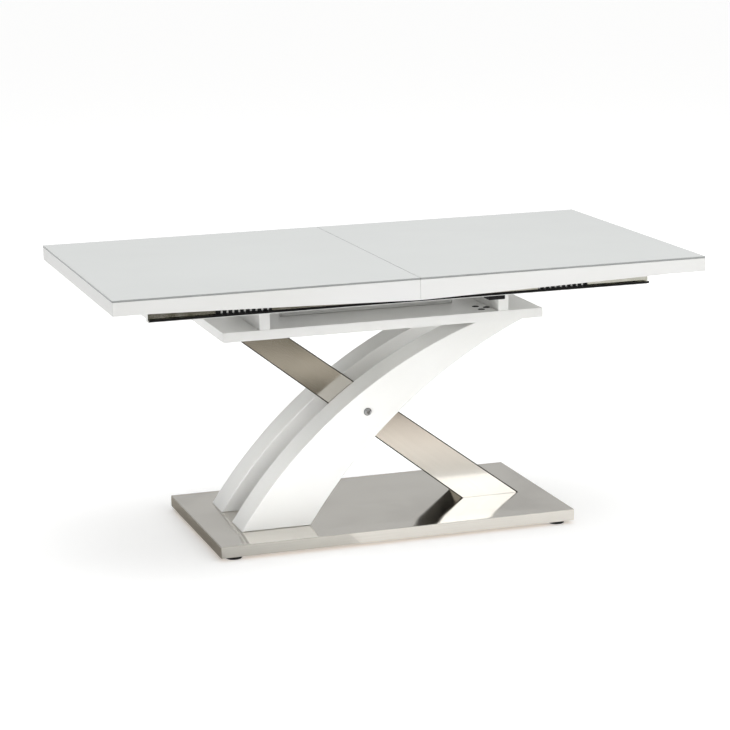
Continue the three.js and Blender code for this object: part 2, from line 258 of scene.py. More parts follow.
lacquer = makeLacquer()
paintedGlass = makePaintedGlass()
glassEdge = makeGlassEdge()
stainless = makeStainless("polishedStainlessSheet", (0, 0, 0), (0.05, 0.12))
# the sleeve is brushed along the leg: a little duller, so what it mirrors has softer edges
legStainless = makeStainless("brushedStainlessSleeve", (0, -legLean, 0), (0.09, 0.16))
# the folds in a matt, darker stainless: the darker colour is a painted reflection, a dark line along each
# edge of the sleeve
paintedDarkFoldStainless = makePlated("foldedStainlessBend", ("#4F4B45", "#6A665F"), (0.3, 0.42), 0.03)
zincSteel = makeZincSteel()
# zinc that the balls have rubbed matt: pale squares between the ribs of a cage
trackZinc = makePlated("mattZincTrackFace", ("#DADBDA", "#ECECEA"), (0.55, 0.7), 0.01)
# hardened, lapped balls: small bright points
ballSteel = makePlated("polishedBallSteel", ("#C4C5C6", "#D6D7D7"), (0.08, 0.16))
# bright plate on the crossing bolt and nut: neutral grey against the white legs
chrome = makePlated("brightChromePlate", ("#B4B5B6", "#C6C7C7"), (0.16, 0.26))
# oiled black oxide on the sunk bolts: dark steel with a faint blue
blackOxide = makePlated("blackOxideSteel", ("#1B1C1E", "#313236"), (0.32, 0.5), metallic=0.85)
# paint dipped on the outside of a channel: black with a low sheen
blackCoat = makePlated("blackElectroCoat", ("#080808", "#101011"), (0.34, 0.45), 0.02, 0, 0.2)
# moulded rubber cups round the sunk bolts: deep black, no sheen; their black also paints the shade inside
# the recesses
recessShadeRubber = makePlated("mattBlackRubber", ("#060606", "#0B0B0B"), (0.85, 0.95), 0.02, 0, 0.05)
nylon = makeNylon()
fibreboard = makeRawWood("rawFibreboard", ("#A98F6B", "#C0A986"), (0.003,) * 3, 0.85, 0.05 * mm)
beech = makeRawWood("plainBeech", ("#C9A678", "#E2C79C"), (0.02, 0.0015, 0.0015), 0.6, 0.03 * mm)
print("finishes made")

# ways to model and hand over a piece


def newBox(bm, low, high):
    verts = bmesh.ops.create_cube(bm, size=1)["verts"]
    bmesh.ops.scale(bm, vec=high - low, verts=verts)
    bmesh.ops.translate(bm, vec=(low + high) / 2, verts=verts)
    return verts


def roundEdges(bm, edges, radius, segments=3):
    bmesh.ops.bevel(bm, geom=list(edges), offset=radius, offset_type="OFFSET", segments=segments,
                    profile=0.5, affect="EDGES", material=-1, clamp_overlap=True)


def edgesOf(verts):
    return {edge for vert in verts for edge in vert.link_edges if edge.other_vert(vert) in verts}


def facesOf(verts):
    return {face for vert in verts for face in vert.link_faces}


# faces extruded and moved: gives the moved points
def drawOut(bm, faces, vec=(0, 0, 0)):
    made = bmesh.ops.extrude_face_region(bm, geom=list(faces))["geom"]
    verts = [item for item in made if isinstance(item, bmesh.types.BMVert)]
    bmesh.ops.translate(bm, vec=vec, verts=verts)
    return verts


def inMm(profile):
    return [(radius * mm, height * mm) for radius, height in profile]


# a turned shape: [radius, height] points swept round the Z axis, then turned and placed
def turnedShape(bm, profile, place, turn=Matrix(), steps=32):
    points = [bm.verts.new((radius, 0, height)) for radius, height in profile]
    edges = [bm.edges.new(pair) for pair in zip(points, points[1:])]
    spun = bmesh.ops.spin(bm, geom=points + edges, cent=(0, 0, 0), axis=(0, 0, 1), angle=math.tau,
                          steps=steps, use_merge=True)
    verts = {v for item in spun["geom_last"] for v in (item.verts if hasattr(item, "verts") else [item])}
    reached, front = set(), list(verts) + points
    while front:
        vert = front.pop()
        if vert.is_valid and vert not in reached:
            reached.add(vert)
            front.extend(edge.other_vert(vert) for edge in vert.link_edges)
    bmesh.ops.transform(bm, matrix=Matrix.Translation(place) @ turn.to_4x4(), verts=list(reached))


def finishPiece(name, bm, finishes, body, stands=(), smoothTo=38):
    bmesh.ops.remove_doubles(bm, verts=bm.verts, dist=0.002 * mm)
    bmesh.ops.recalc_face_normals(bm, faces=bm.faces)
    # the outward guess can fail on a long mitred board
    if all(e.is_manifold for e in bm.edges) and bm.calc_volume(signed=True) < 0:
        bmesh.ops.reverse_faces(bm, faces=bm.faces)
    mesh = bpy.data.meshes.new(name)
    bm.to_mesh(mesh)
    bm.free()
    mesh.shade_smooth()
    mesh.set_sharp_from_angle(angle=math.radians(smoothTo))
    for finish in finishes:
        mesh.materials.append(finish)
    piece = bpy.data.objects.new(name, mesh)
    scene.collection.objects.link(piece)
    piece.modifiers.new("evenNormals", "WEIGHTED_NORMAL").keep_sharp = True
    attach(piece, body)
    if stands:
        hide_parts(*stands)
    return piece


def bodyOf(node):
    return frame["nodes"][node]["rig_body"]


# sheet metal: an open skin thickened inwards, before its normals are evened out
def giveWall(piece, thickness):
    wall = piece.modifiers.new("sheetWall", "SOLIDIFY")
    wall.thickness = thickness
    wall.offset = -1
    piece.modifiers.move(1, 0)


# a plain board or bar in place of one box-shaped node, with its edges eased
def easedBoard(node, name, finish, radius):
    low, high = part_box(node)
    bm = bmesh.new()
    verts = newBox(bm, low, high)
    roundEdges(bm, edgesOf(verts), radius)
    return finishPiece(name, bm, [finish], bodyOf(node), [node])


# a copy of one node's own mesh: loose triangles merged to flat faces, then sharp edges eased
def easedCopy(node, name, finish, radius):
    bm = bmesh.new()
    bm.from_mesh(frame["nodes"][node].data)
    bmesh.ops.remove_doubles(bm, verts=bm.verts, dist=0.01 * mm)
    bmesh.ops.dissolve_limit(bm, angle_limit=math.radians(1), verts=bm.verts, edges=bm.edges)
    bm.normal_update()
    roundEdges(bm, [e for e in bm.edges if e.calc_face_angle(0) > math.radians(40)], radius, 2)
    return finishPiece(name, bm, [finish], bodyOf(node), [node])


# glass sheets: eased corners, polished arrises, and the edge seen end-on in its own finish
sheetLook = {"corner": 2.2 * mm, "arris": 0.7 * mm, "level": 0.9}  # level: least Z of a flat normal


def glassSheet(node, name):
    low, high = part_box(node)
    bm = bmesh.new()
    verts = newBox(bm, low, high)
    upright = [e for e in edgesOf(verts) if abs(e.verts[0].co.z - e.verts[1].co.z) > 1 * mm]
    roundEdges(bm, upright, sheetLook["corner"], 5)
    rims = [e for e in bm.edges if abs(e.verts[0].co.z - e.verts[1].co.z) < 0.1 * mm]
    roundEdges(bm, rims, sheetLook["arris"], 2)
    bm.normal_update()
    for face in bm.faces:
        face.material_index = int(abs(face.normal.z) < sheetLook["level"])
    finishPiece(name, bm, [paintedGlass, glassEdge], bodyOf(node), [node], 50)


for side in sides:
    glassSheet(f"{side}_glass", f"{side}GlassSheet")
glassSheet("leaf_glass", "leafGlassSheet")
print("glass sheets made")

# apron boards: mitred at the table's corners, deeper towards the seam
apronLook = {
    "corner": 1.6 * mm, "easing": 0.8 * mm, "mitreGap": 0.04 * mm, "levelEnd": 100 * mm,
    "leafEasing": 0.9 * mm, "easedFrom": 50 * mm,  # shorter edges stay sharp
}


# outline seen from above is [x, y] points; the lower edge bends where it passes the knee
def apronBoard(name, node, outline, top, lowAt, knee=0):
    bm = bmesh.new()
    corners = [bm.verts.new((x, y, top)) for x, y in outline]
    bm.faces.new(corners)
    if knee:
        atKnee = [v for v in corners if abs(abs(v.co.x) - knee) < 0.01 * mm]
        bmesh.ops.connect_verts(bm, verts=atKnee)
    for vert in drawOut(bm, bm.faces):
        vert.co.z = lowAt(vert.co.x)
    bm.normal_update()
    long = [e for e in bm.edges if e.calc_length() > apronLook["easedFrom"] and e.calc_face_angle(0) > 1]
    roundEdges(bm, long, apronLook["easing"], 2)
    finishPiece(name, bm, [lacquer], bodyOf(node), [node])


def cornerArc(radius, count=3):
    angles = [math.pi / 4 * i / count for i in range(count + 1)]
    return [(radius * (1 - math.sin(a)), radius * (1 - math.cos(a))) for a in angles]


for side, way in sides.items():
    endLow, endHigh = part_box(f"{side}_end_skirt")
    endX = way * endHigh.x if way > 0 else -endLow.x  # distance of the outer face from the middle
    thick = endHigh.x - endLow.x
    wide = endHigh.y
    arc = cornerArc(apronLook["corner"])
    gap = apronLook["mitreGap"]
    for front, forth in fronts.items():
        node = f"{side}_{front}_skirt"
        low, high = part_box(node)
        seamX = min(abs(low.x), abs(high.x))
        knee = endX - apronLook["levelEnd"]
        slope = (endLow.z - low.z) / (knee - seamX)
        outline = [(seamX, wide), (knee, wide),
                   *[(endX - gap - a, wide - b) for a, b in reversed(arc)],
                   (endX - gap - thick, wide - thick), (knee, wide - thick), (seamX, wide - thick)]
        apronBoard(f"{side}{front.title()}Apron", node, [(way * x, forth * y) for x, y in outline],
                   high.z, lambda x: min(endLow.z, low.z + slope * (abs(x) - seamX)), knee)
    corner = [(endX - b, wide - gap - a) for a, b in arc] + [(endX - thick, wide - gap - thick)]
    outline = corner + [(x, -y) for x, y in reversed(corner)]
    apronBoard(f"{side}EndApron", f"{side}_end_skirt", [(way * x, y) for x, y in outline],
               endHigh.z, lambda x: endLow.z)
for side in sides:
    easedBoard(f"leaf_{side}_skirt", f"leaf{side.title()}Apron", lacquer,
               apronLook["leafEasing"])
print("aprons made")

# boards of the fixed frame and of the tops, each with its edges' radius in mm
boardEasing = {
    "leaf_board": 0.5, "leaf_rest": 1.2, "front_rail": 1.2, "rear_rail": 1.2,
    "left_end_board": 1.2, "right_end_board": 1.2,
    **{f"{side}_{front}_batten": 1.2 for side in sides for front in fronts},
}


def camel(node):
    first, *rest = node.split("_")
    return first + "".join(word.title() for word in rest)


for node, radius in boardEasing.items():
    easedBoard(node, camel(node) + "Board", lacquer, radius * mm)

upperPlateLook = {"easing": 0.8 * mm}
easedCopy("upper_plate", "upperPlateBoard", lacquer, upperPlateLook["easing"])

# cross boards: as wide as the plate below, and from the rails up as wide as the frame
crossBoardLook = {"easing": 1.2 * mm}
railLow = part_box("front_rail")[0].z
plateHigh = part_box("upper_plate")[1]
for side in sides:
    node = f"{side}_cross_board"
    low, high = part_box(node)
    foot = plateHigh.y
    bm = bmesh.new()
    outline = [(-foot, low.z), (foot, low.z), (foot, railLow), (high.y, railLow),
               (high.y, high.z), (low.y, high.z), (low.y, railLow), (-foot, railLow)]
    face = bm.faces.new([bm.verts.new((low.x, y, z)) for y, z in outline])
    drawOut(bm, [face], (high.x - low.x, 0, 0))
    roundEdges(bm, bm.edges, crossBoardLook["easing"], 2)
    finishPiece(camel(node), bm, [lacquer], "pedestal", [node])
print("boards made")

# curved legs: two arcs, widest at the foot, with softly rounded rims
archShape = {
    "footWidth": 192 * mm, "headWidth": 136 * mm, "outerRise": 71.7 * mm, "innerRise": 58.8 * mm,
    "steps": 56, "rim": 2.5 * mm,
}


# points along an arc in the XZ plane that rises to the left of its chord
def arcPoints(start, end, rise):
    steps = archShape["steps"]
    chord = end - start
    length = chord.length
    radius = (length * length / 4 + rise * rise) / (2 * rise)
    half = math.asin(length / 2 / radius)
    along = chord / length
    left = Vector((-along.z, 0, along.x))
    angles = [-half + 2 * half * i / steps for i in range(steps + 1)]
    return [start + along * (length / 2 + radius * math.sin(a))
            + left * (rise - radius * (1 - math.cos(a))) for a in angles]


for front in fronts:
    low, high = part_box(f"{front}_arch")
    outer = arcPoints(low, Vector((high.x - archShape["headWidth"], low.y, high.z)),
                      archShape["outerRise"])
    inner = arcPoints(low + Vector((archShape["footWidth"], 0, 0)), Vector((high.x, low.y, high.z)),
                      archShape["innerRise"])
    bm = bmesh.new()
    rows = [[bm.verts.new(point) for point in line] for line in (outer, inner)]
    edges = [bm.edges.new(pair) for row in rows for pair in zip(row, row[1:])]
    faces = bmesh.ops.bridge_loops(bm, edges=edges)["faces"]
    drawOut(bm, faces, (0, high.y - low.y, 0))
    bm.normal_update()
    rims = [e for e in bm.edges if len(e.link_faces) == 2 and e.calc_face_angle(0) > 1]
    roundEdges(bm, rims, archShape["rim"], 4)
    finishPiece(f"{front}ArchLeg", bm, [lacquer], "pedestal", [f"{front}_arch"])
print("arches made")

# straight leg: a sleeve of folded sheet, open at both ends
legLook = {
    "bend": 2 * mm, "sheet": 1.2 * mm, "seal": 0.5 * mm, "sealHeight": 1.8 * mm, "sealEasing": 0.3 * mm,
    "sealWidth": 3 * mm,
}
bm = bmesh.new()
corners = [Vector((legHigh.x - legShape["footWidth"], legLow.y, legLow.z)),
           Vector((legHigh.x, legLow.y, legLow.z)),
           Vector((legLow.x + legShape["headWidth"], legLow.y, legHigh.z)),
           Vector((legLow.x, legLow.y, legHigh.z))]
face = bm.faces.new([bm.verts.new(corner) for corner in corners])
drawOut(bm, [face], (0, legHigh.y - legLow.y, 0))
bm.normal_update()
ends = [f for f in bm.faces if abs(f.normal.z) > 0.99]
bmesh.ops.delete(bm, geom=ends, context="FACES_ONLY")
folds = [e for e in bm.edges if len(e.link_faces) == 2]
roundEdges(bm, folds, legLook["bend"], 4)
bendArea = 0.75 * legLook["bend"] * (corners[3] - corners[0]).length  # more than one strip of a fold
# the fold strips take the darker finish: a painted reflection along the sleeve's edges
for face in bm.faces:
    face.material_index = int(face.calc_area() < bendArea)
sleeve = finishPiece("crossLegSleeve", bm, [legStainless, paintedDarkFoldStainless], "pedestal",
                     ["cross_leg_cover"])
giveWall(sleeve, legLook["sheet"])

# thin black seal round the leg's foot, between sleeve and base: its black also paints the shade of the
# gap there as a dark line
bm = bmesh.new()
past = Vector((legLook["seal"], legLook["seal"], 0))
sealTop = Vector((legHigh.x, legHigh.y, legLow.z + legLook["sealHeight"]))
verts = newBox(bm, corners[0] - past, sealTop + past)
roundEdges(bm, edgesOf(verts), legLook["sealEasing"], 2)
bm.normal_update()
lids = sorted(bm.faces, key=lambda f: abs(f.normal.z) * f.calc_area())[-2:]
bmesh.ops.inset_region(bm, faces=lids, thickness=legLook["sealWidth"])
bmesh.ops.bridge_loops(bm, edges=[e for lid in lids for e in lid.edges])
bmesh.ops.delete(bm, geom=lids, context="FACES")
finishPiece("crossLegFootSeal", bm, [nylon], "pedestal", [], 30)

# base: a shallow tray of the same sheet, its flat pulled up a little towards the folds
trayLook = {
    "bend": 1.5 * mm, "sheet": 1.2 * mm, "lift": 1.2 * mm, "liftWidth": 75 * mm, "liftSteps": 8,
}
low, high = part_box("base_cover")
bm = bmesh.new()
verts = newBox(bm, low, high + Vector((0, 0, trayLook["lift"])))
bm.normal_update()
bmesh.ops.delete(bm, geom=[f for f in bm.faces if f.normal.z < -0.9], context="FACES_ONLY")
roundEdges(bm, [e for e in bm.edges if len(e.link_faces) == 2], trayLook["bend"], 4)
flat = max(bm.faces, key=lambda f: f.calc_area())
steps = trayLook["liftSteps"]
for i in range(steps):
    drop = trayLook["lift"] * ((1 - i / steps) ** 2 - (1 - (i + 1) / steps) ** 2)
    bmesh.ops.inset_region(bm, faces=[flat], thickness=trayLook["liftWidth"] / steps, depth=-drop,
                           use_even_offset=True)
tray = finishPiece("baseTray", bm, [stainless], "pedestal", ["base_cover"])
giveWall(tray, trayLook["sheet"])
print("steel leg and base made")

# feet: turned nylon discs with a rounded rim and a groove round the side
footLook = {"rim": 2.2 * mm, "groove": 0.8 * mm, "grooveAt": 5.6 * mm, "topEasing": 0.6 * mm}
for front in fronts:
    for side in sides:
        node = f"{front}_{side}_foot"
        low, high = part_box(node)
        radius = (high.x - low.x) / 2
        tall = high.z - low.z
        rim, groove = footLook["rim"], footLook["groove"]
        level, easing = footLook["grooveAt"], footLook["topEasing"]
        curve = [(radius - rim * (1 - math.sin(a)), rim * (1 - math.cos(a)))
                 for a in [math.pi / 2 * i / 5 for i in range(6)]]
        profile = [(0, 0), *curve, (radius, level - groove), (radius - groove, level - groove / 2),
                   (radius - groove, level + groove / 2), (radius, level + groove),
                   (radius, tall - easing), (radius - easing, tall), (0, tall)]
        bm = bmesh.new()
        middle = (low + high) / 2
        turnedShape(bm, profile, Vector((middle.x, middle.y, low.z)), steps=48)
        finishPiece(camel(node), bm, [nylon], "pedestal", [node], 30)
print("feet made")

# slides: rolled sections, eased at every bend, drawn along X
slideLook = {
    "bend": 0.7 * mm, "wall": 1.5 * mm, "lip": 6 * mm, "coat": 0.9 * mm,  # coat: black to this depth
    "screwPitch": 170 * mm, "screwInset": 60 * mm,  # and a screw's [radius, height] points in mm
    "screw": [(0, -0.9), (0.8, -0.7), (1.1, 0.1), (2.6, 0.15), (3.3, 0), (3.3, -0.2), (0, -1.2)],
}


# outer faces of a channel are black coated, the races inside are bare zinc
def rolledBar(name, node, outline, finishes, insideFrom=None, addMore=None):
    low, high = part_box(node)
    bm = bmesh.new()
    bm.faces.new([bm.verts.new((low.x, y, z)) for y, z in outline])
    bmesh.ops.bevel(bm, geom=list(bm.verts), offset=slideLook["bend"], offset_type="OFFSET", segments=3,
                    profile=0.5, affect="VERTICES", material=-1, clamp_overlap=True)
    drawOut(bm, bm.faces, (high.x - low.x, 0, 0))
    if insideFrom:
        for face in bm.faces:
            face.material_index = int(insideFrom(face.calc_center_median(), low, high))
    if addMore:
        addMore(bm, low, high)
    return finishPiece(name, bm, finishes, bodyOf(node), [node], 40)


# distances of a slide member's two sides from the table's middle
def nearAndFar(low, high):
    return sorted((abs(low.y), abs(high.y)))


def insideRace(spot, low, high):
    coat = slideLook["coat"]
    back, mouth = nearAndFar(low, high)
    outside = min(spot.z - low.z, high.z - spot.z) < coat
    return not outside and back + coat < abs(spot.y) < mouth - coat


# flush cross-head screws through the channel's web into the rail
def webScrews(bm, low, high):
    forth = 1 if high.y > 0 else -1
    web = nearAndFar(low, high)[0] + slideLook["wall"]
    run = high.x - low.x - 2 * slideLook["screwInset"]
    count = round(run / slideLook["screwPitch"])
    for i in range(count + 1):
        x = low.x + slideLook["screwInset"] + i * run / count
        turnedShape(bm, inMm(slideLook["screw"]), Vector((x, forth * web, (low.z + high.z) / 2)),
                    Matrix.Rotation(-forth * math.pi / 2, 3, "X"), 12)


cageShape = {
    "web": 2.5 * mm, "bar": 4.7 * mm, "pocket": 1.6 * mm, "pitch": 14.5 * mm, "ball": 2.45 * mm,
    "ballMargin": 3 * mm, "rib": 4 * mm, "ribDepth": 2.2 * mm, "ribEasing": 0.5 * mm, "root": 1 * mm,
    "window": 5 * mm, "windowFrom": 5.6 * mm, "windowTo": 12.6 * mm, "windowProud": 0.3 * mm,
}


# ribs across the cage's web, windows that show the track, and a ball in each pocket of its two bars
def cageFilling(bm, low, high):
    forth = 1 if high.y > 0 else -1
    web, face = nearAndFar(low, high)
    bar, ball, pitch = cageShape["bar"], cageShape["ball"], cageShape["pitch"]

    def block(x, width, depth, bottom, top):
        ys = sorted((forth * (web + cageShape["root"]), forth * (web + cageShape["web"] + depth)))
        return newBox(bm, Vector((x - width / 2, ys[0], bottom)), Vector((x + width / 2, ys[1], top)))

    count = int((high.x - low.x) / pitch)
    for i in range(count):
        x = low.x + (i + 0.5) * (high.x - low.x) / count
        rib = block(x, cageShape["rib"], cageShape["ribDepth"], low.z + bar / 2, high.z - bar / 2)
        roundEdges(bm, edgesOf(rib), cageShape["ribEasing"], 2)
        between = x + pitch / 2
        if i < count - 1:
            pane = block(between, cageShape["window"], cageShape["windowProud"],
                         low.z + cageShape["windowFrom"], low.z + cageShape["windowTo"])
            for facet in facesOf(pane):
                facet.material_index = 2
        if between < high.x - cageShape["ballMargin"]:
            for z in (low.z + bar / 2, high.z - bar / 2):
                spot = Matrix.Translation((between, forth * (face - ball), z))
                made = bmesh.ops.create_icosphere(bm, subdivisions=2, radius=ball, matrix=spot)["verts"]
                for facet in facesOf(made):
                    facet.material_index = 1


for front, forth in fronts.items():
    node = f"{front}_channel"
    low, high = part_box(node)
    back, mouth = nearAndFar(low, high)
    lip, wall = slideLook["lip"], slideLook["wall"]
    outline = [(back, low.z), (mouth, low.z), (mouth, low.z + lip), (mouth - wall, low.z + lip),
               (mouth - wall, low.z + wall), (back + wall, low.z + wall), (back + wall, high.z - wall),
               (mouth - wall, high.z - wall), (mouth - wall, high.z - lip), (mouth, high.z - lip),
               (mouth, high.z), (back, high.z)]
    rolledBar(f"{front}SlideChannel", node, [(forth * y, z) for y, z in outline],
              [blackCoat, zincSteel], insideRace, webScrews)
    for side in sides:
        node = f"{side}_{front}_runner"
        low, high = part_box(node)
        root, face = nearAndFar(low, high)
        outline = [(root, low.z), (face, low.z), (face, high.z), (root, high.z), (root, high.z - wall),
                   (face - wall, high.z - wall), (face - wall, low.z + wall), (root, low.z + wall)]
        rolledBar(f"{side}{front.title()}SlideRunner", node, [(forth * y, z) for y, z in outline],
                  [zincSteel])
        node = f"{side}_{front}_cage"
        low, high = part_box(node)
        root, face = nearAndFar(low, high)
        web, bar = cageShape["web"], cageShape["bar"]
        recess = face - cageShape["pocket"]
        outline = [(root, low.z), (recess, low.z), (recess, low.z + bar), (root + web, low.z + bar),
                   (root + web, high.z - bar), (recess, high.z - bar), (recess, high.z), (root, high.z)]
        rolledBar(camel(node), node, [(forth * y, z) for y, z in outline],
                  [nylon, ballSteel, trackZinc], None, cageFilling)
print("slides made")

# hex-socket screws: a turned head and shank, with the socket sunk into the head
def socketScrew(name, place, turn, outline, socket, depth, finish, body, nodes, steps=36):
    bm = bmesh.new()
    turnedShape(bm, outline, Vector(), steps=steps)
    bmesh.ops.remove_doubles(bm, verts=bm.verts, dist=0.002 * mm)
    rim = [e for e in bm.edges if len(e.link_faces) == 1]
    level = outline[-1][1]
    hexagon = bmesh.ops.create_circle(bm, segments=6, radius=socket)["verts"]
    bmesh.ops.translate(bm, vec=(0, 0, level), verts=hexagon)
    hexEdges = list(edgesOf(hexagon))
    bmesh.ops.bridge_loops(bm, edges=rim + hexEdges)
    sunk = bmesh.ops.extrude_edge_only(bm, edges=hexEdges)["geom"]
    floorVerts = [v for v in sunk if isinstance(v, bmesh.types.BMVert)]
    bmesh.ops.translate(bm, vec=(0, 0, -depth), verts=floorVerts)
    bmesh.ops.contextual_create(bm, geom=[e for e in sunk if isinstance(e, bmesh.types.BMEdge)])
    bmesh.ops.transform(bm, matrix=Matrix.Translation(place) @ turn.to_4x4(), verts=bm.verts)
    finishPiece(name, bm, [finish], body, nodes, 30)


# [radius, height] of a shank with a chamfered end, up to where the head starts
def shankProfile(radius, reach, chamfer):
    return [(0, -reach), (radius - chamfer, -reach), (radius, -reach + chamfer), (radius, 0)]


# crossing bolt and its nut: low domes of plated steel on black washers against the white legs
crossingLook = {
    "shank": 6 * mm, "chamfer": 1 * mm, "flange": 1.1 * mm, "socket": 4.3 * mm, "depth": 3.4 * mm,
    "dome": 6 * mm, "topDrop": 0.15 * mm, "endGap": 0.05 * mm, "washer": 0.9 * mm,
    "washerThick": 0.8 * mm,
    "domeShare": 0.98, "washerHole": 0.6,  # of the head's radius
    "socketRim": 1.12, "domeEnd": 1.2,  # of the socket's radius
    "flangeSide": 0.7,  # of the flange's height, and of the washer's
}
for node, forth in (("crossing_bolt", -1), ("crossing_nut", 1)):
    low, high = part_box(node)
    look = crossingLook
    radius, tall, flange, socket = (high.x - low.x) / 2, look["dome"], look["flange"], look["socket"]
    seatY = (high.y if forth > 0 else -low.y) - tall
    place = Vector(((low.x + high.x) / 2, forth * seatY, (low.z + high.z) / 2))
    turn = Matrix.Rotation(-forth * math.pi / 2, 3, "X")
    turns = [math.pi / 2 * i / 8 for i in range(9)]
    dome = [(radius * look["domeShare"] * math.cos(a), flange + (tall - flange) * math.sin(a))
            for a in turns]
    dome = [point for point in dome if point[0] > socket * look["domeEnd"]]
    profile = [*shankProfile(look["shank"], high.y - low.y - tall - look["endGap"], look["chamfer"]),
               (radius, 0), (radius, flange * look["flangeSide"]), *dome,
               (socket * look["socketRim"], tall - look["topDrop"])]
    socketScrew(camel(node), place, turn, profile, socket, look["depth"], chrome, "pedestal",
                [node], 48)
    rim, hole, thick = radius + look["washer"], radius * look["washerHole"], look["washerThick"]
    side = thick * look["flangeSide"]
    bm = bmesh.new()
    turnedShape(bm, [(hole, 0), (rim, 0), (rim, side), (rim - thick + side, thick), (hole, thick),
                     (hole, 0)], place, turn, 40)
    finishPiece(camel(node) + "Washer", bm, [nylon], "pedestal", [], 30)

# sunk bolts that hold the plate to the legs: black cap heads in flanged cups, the cups' black lining is
# painted shade in the recesses
plateBoltLook = {
    "head": 8 * mm, "easing": 0.7 * mm, "seatEasing": 0.3 * mm, "socket": 3.4 * mm, "socketRim": 1.25,
    "depth": 4 * mm, "shank": 4 * mm, "chamfer": 0.8 * mm, "cup": 8.35 * mm, "cupWall": 1.2 * mm,
    "cupLift": 0.1 * mm, "cupDrop": 0.05 * mm, "cupFlange": 9.7 * mm, "flangeThick": 0.5 * mm,
    "flangeSlant": 0.2 * mm,
}
for part in frame["record"]["subparts"]:
    node = part["node"]
    if node.endswith(("arch_bolt_1", "arch_bolt_2", "arch_bolt_3", "leg_bolt_1", "leg_bolt_2")):
        low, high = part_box(node)
        look = plateBoltLook
        radius, head = (high.x - low.x) / 2, look["head"]
        easing, under = look["easing"], look["seatEasing"]
        seat = high.z - head
        centre = Vector(((low.x + high.x) / 2, (low.y + high.y) / 2, seat))
        turns = [math.pi / 2 * i / 4 for i in range(5)]
        corner = [(radius - easing * (1 - math.cos(a)), head - easing * (1 - math.sin(a))) for a in turns]
        profile = [*shankProfile(look["shank"], seat - low.z, look["chamfer"]), (radius - under, 0),
                   (radius, under), *corner, (look["socket"] * look["socketRim"], head)]
        socketScrew(camel(node), centre, Matrix.Identity(3), profile, look["socket"], look["depth"],
                    blackOxide, "pedestal", [node])
        outer, inner, bottom = look["cup"], look["cup"] - look["cupWall"], look["cupLift"]
        level, flange = plateHigh.z - seat - look["cupDrop"], look["cupFlange"]
        top = level + look["flangeThick"]
        bm = bmesh.new()
        turnedShape(bm, [(inner, bottom), (outer, bottom), (outer, level), (flange, level),
                         (flange - look["flangeSlant"], top), (inner, top), (inner, bottom)],
                    centre, steps=40)
        finishPiece(camel(node) + "Cup", bm, [recessShadeRubber], "pedestal", [], 30)

# guide dowels: beech rods with chamfered ends and two shallow glue rings
dowelLook = {"chamfer": 1.5 * mm, "ring": 0.35 * mm, "rings": (0.22, 0.34)}
for front in fronts:
    node = f"{front}_dowel"
    low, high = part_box(node)
    radius, long = (high.y - low.y) / 2, high.x - low.x
    chamfer, ring = dowelLook["chamfer"], dowelLook["ring"]
    grooves = [(radius - cut, long * share + shift)
               for share in dowelLook["rings"] for cut, shift in ((0, -ring), (ring, 0), (0, ring))]
    profile = [(0, 0), (radius - chamfer, 0), (radius, chamfer), *grooves, (radius, long - chamfer),
               (radius - chamfer, long), (0, long)]
    bm = bmesh.new()
    turnedShape(bm, profile, Vector((low.x, (low.y + high.y) / 2, (low.z + high.z) / 2)),
                Matrix.Rotation(math.pi / 2, 3, "Y"), 32)
    finishPiece(camel(node), bm, [beech], bodyOf(node), [node], 30)

# catch that locks the closed halves: a moulded housing with a finger hollow and two screws
catchLook = {
    "hang": 2.4 * mm, "corner": 1.8 * mm, "hollow": 7 * mm, "hollowSlope": 1 * mm,
    "hollowDepth": 1.6 * mm, "screwInset": 3.8 * mm,  # and a screw's [radius, height] points in mm
    "screw": [(0, 0.5), (1, 0.4), (1.2, -0.3), (2.6, -0.45), (3.2, 0), (3.2, 1), (0, 1)],
}
low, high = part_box("lock_block")
low.z -= catchLook["hang"]  # the housing's lower lid
bm = bmesh.new()
verts = newBox(bm, low, high)
roundEdges(bm, edgesOf(verts), catchLook["corner"], 3)
bm.normal_update()
bottom = min(bm.faces, key=lambda f: f.normal.z * f.calc_area())
bmesh.ops.inset_region(bm, faces=[bottom], thickness=catchLook["hollow"])
bmesh.ops.inset_region(bm, faces=[bottom], thickness=catchLook["hollowSlope"],
                       depth=-catchLook["hollowDepth"])
for x in (low.x + catchLook["screwInset"], high.x - catchLook["screwInset"]):
    turnedShape(bm, inMm(catchLook["screw"]), Vector((x, (low.y + high.y) / 2, low.z)), steps=16)
finishPiece("lockCatch", bm, [nylon], "pedestal", ["lock_block"], 30)
print("fasteners and catch made")

# camera: the same stand as a person about five metres off, looking a little down
cameraLook = {
    "place": (-1.99892, -6.13193, 1.84128), "yaw": 0.3142, "pitch": 0.2152, "roll": -0.0172,
    "lens": 118.5, "sensor": 36,
}
cameraData = bpy.data.cameras.new("studioCamera")
cameraData.lens = cameraLook["lens"]
cameraData.sensor_width = cameraLook["sensor"]
cameraData.clip_end = 200
camera = bpy.data.objects.new("studioCamera", cameraData)
camera.matrix_world = (
    Matrix.Translation(cameraLook["place"]) @ Matrix.Rotation(-cameraLook["yaw"], 4, "Z")
    @ Matrix.Rotation(math.pi / 2 - cameraLook["pitch"], 4, "X")
    @ Matrix.Rotation(cameraLook["roll"], 4, "Z"))
scene.collection.objects.link(camera)
scene.camera = camera

